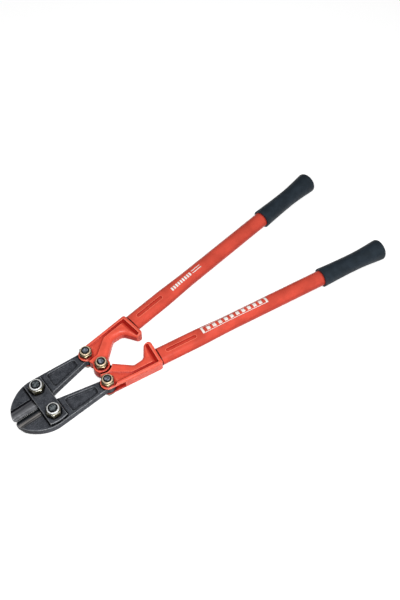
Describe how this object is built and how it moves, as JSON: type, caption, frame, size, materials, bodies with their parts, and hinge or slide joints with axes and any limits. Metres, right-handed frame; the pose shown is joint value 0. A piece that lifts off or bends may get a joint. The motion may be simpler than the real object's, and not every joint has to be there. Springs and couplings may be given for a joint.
{
  "type": "bolt cutters",
  "caption": "Compound-action bolt cutters: two bevelled jaws on link plates, worked through forked lever heads by long tubular handles with rubber grips.",
  "frame": {"origin": "centre of the under face of the centre bolt's head, on the axis that both levers turn about", "axes": "+X along the centre line from the jaws to the grips, +Y towards the right-hand lever, +Z along the bolts from their heads to their nuts"},
  "size_m": [0.6104, 0.2038, 0.0415],
  "materials": {
    "jaw_steel": "blackened forged steel, satin",
    "plate_steel": "blackened steel strap, satin",
    "bolt_steel": "dull zinc-plated steel, blue-grey",
    "nut_zinc": "pale yellow passivated zinc plate",
    "nylon": "dark nylon",
    "lever_enamel": "glossy red-orange enamel over a forging",
    "tube_enamel": "glossy red-orange enamel over steel tube",
    "grip_rubber": "smooth matt near-black rubber"
  },
  "bodies": {
    "left_lever": {"left_lever_head": "lever_enamel", "left_handle_tube": "tube_enamel", "left_grip": "grip_rubber", "centre_bolt": "bolt_steel", "centre_nut": "nut_zinc", "centre_nylon_ring": "nylon", "left_tail_bolt": "bolt_steel", "left_tail_nut": "nut_zinc", "left_tail_nylon_ring": "nylon"},
    "right_lever": {"right_lever_head": "lever_enamel", "right_handle_tube": "tube_enamel", "right_grip": "grip_rubber", "right_tail_bolt": "bolt_steel", "right_tail_nut": "nut_zinc", "right_tail_nylon_ring": "nylon"},
    "left_jaw": {"left_jaw": "jaw_steel"},
    "link_plates": {"front_link_plate": "plate_steel", "back_link_plate": "plate_steel", "right_jaw_bolt": "bolt_steel", "right_jaw_nut": "nut_zinc", "right_jaw_nylon_ring": "nylon", "left_jaw_bolt": "bolt_steel", "left_jaw_nut": "nut_zinc", "left_jaw_nylon_ring": "nylon"},
    "right_jaw": {"right_jaw": "jaw_steel"}
  },
  "joints": [
    {"name": "lever_pivot", "type": "hinge", "parent": "left_lever", "child": "right_lever", "pos_m": [0, 0, 0.0164], "axis": [0, 0, 1], "range_deg": [0, 80]},
    {"name": "left_tail_pivot", "type": "hinge", "parent": "left_lever", "child": "left_jaw", "pos_m": [-0.0081, -0.0282, 0.0164], "axis": [0, 0, 1], "range_deg": [0, 47.3]},
    {"name": "left_jaw_pivot", "type": "hinge", "parent": "left_jaw", "child": "link_plates", "pos_m": [-0.0931, -0.0224, 0.0164], "axis": [0, 0, 1], "range_deg": [-7.3, 0]},
    {"name": "right_jaw_pivot", "type": "hinge", "parent": "link_plates", "child": "right_jaw", "pos_m": [-0.0931, 0.0224, 0.0164], "axis": [0, 0, 1], "range_deg": [-7.3, 0]}
  ],
  "couplings": [
    {"joint": "left_tail_pivot", "follows": "lever_pivot", "ratio": 0.591},
    {"joint": "left_jaw_pivot", "follows": "lever_pivot", "ratio": -0.091},
    {"joint": "right_jaw_pivot", "follows": "lever_pivot", "ratio": -0.091}
  ]
}
